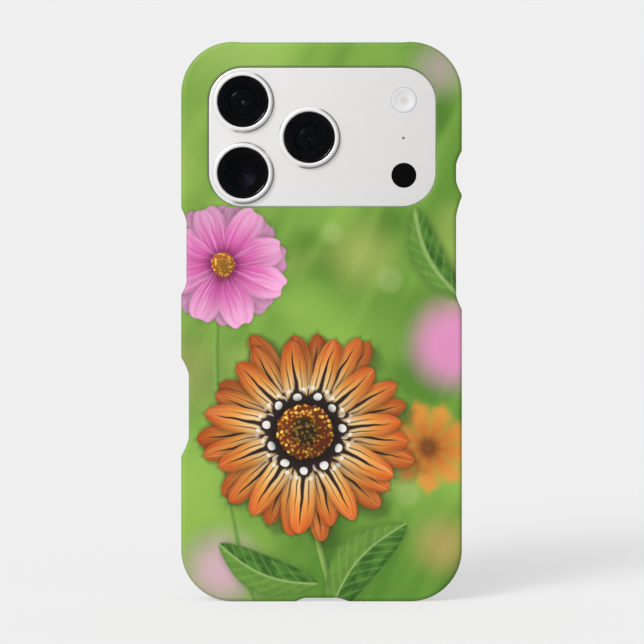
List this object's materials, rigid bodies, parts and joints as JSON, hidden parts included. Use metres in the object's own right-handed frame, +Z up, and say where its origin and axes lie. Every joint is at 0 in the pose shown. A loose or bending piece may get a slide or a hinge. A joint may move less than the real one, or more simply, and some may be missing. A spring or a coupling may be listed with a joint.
{
  "type": "smartphone in a printed hard case",
  "caption": "Smartphone in a printed hard case, upright: camera plateau in the opening of the case, sprung side keys, port window and a floral back.",
  "frame": {"origin": "centre of the bounding box in X and Y, at the bottom edge of the case, on the surface it stands on", "axes": "+Z up along the handset's long side, -Y out of the decorated back, +Y out of the screen, +X to the right as seen from the back"},
  "size_m": [0.0786, 0.013, 0.1565],
  "materials": {
    "printed_case": "satin coat over a printed hard plastic shell",
    "satin_aluminium": "fine satin, anodised silver white",
    "ring_aluminium": "polished rim",
    "key_aluminium": "fine satin",
    "lens_glass": "clear cover over a black barrel",
    "sensor_glass": "black glass",
    "screen_glass": "polished, screen off",
    "back_glass": "matte back panel under the case",
    "flash_lens": "diffusing lens",
    "port_plastic": "moulded"
  },
  "bodies": {
    "handset": {"case_shell": "printed_case", "phone_frame": "satin_aluminium", "back_panel": "back_glass", "screen_glass": "screen_glass", "lens_ring_upper": "ring_aluminium", "lens_ring_lower": "ring_aluminium", "lens_ring_middle": "ring_aluminium", "lens_glass_upper": "lens_glass", "lens_glass_lower": "lens_glass", "lens_glass_middle": "lens_glass", "flash_lens": "flash_lens", "depth_sensor": "sensor_glass", "port_tongue": "port_plastic"},
    "side_key": {"side_key": "key_aluminium"},
    "capture_key": {"capture_key": "key_aluminium"},
    "action_key": {"action_key": "key_aluminium"},
    "volume_up_key": {"volume_up_key": "key_aluminium"},
    "volume_down_key": {"volume_down_key": "key_aluminium"}
  },
  "joints": [
    {"name": "side_key_press", "type": "slide", "parent": "handset", "child": "side_key", "axis": [1, 0, 0], "range_m": [0, 0.00028], "stiffness_N_per_m": 3000},
    {"name": "capture_key_press", "type": "slide", "parent": "handset", "child": "capture_key", "axis": [1, 0, 0], "range_m": [0, 0.00012], "stiffness_N_per_m": 3000},
    {"name": "action_key_press", "type": "slide", "parent": "handset", "child": "action_key", "axis": [-1, 0, 0], "range_m": [0, 0.00028], "stiffness_N_per_m": 3000},
    {"name": "volume_up_press", "type": "slide", "parent": "handset", "child": "volume_up_key", "axis": [-1, 0, 0], "range_m": [0, 0.00028], "stiffness_N_per_m": 3000},
    {"name": "volume_down_press", "type": "slide", "parent": "handset", "child": "volume_down_key", "axis": [-1, 0, 0], "range_m": [0, 0.00028], "stiffness_N_per_m": 3000}
  ]
}
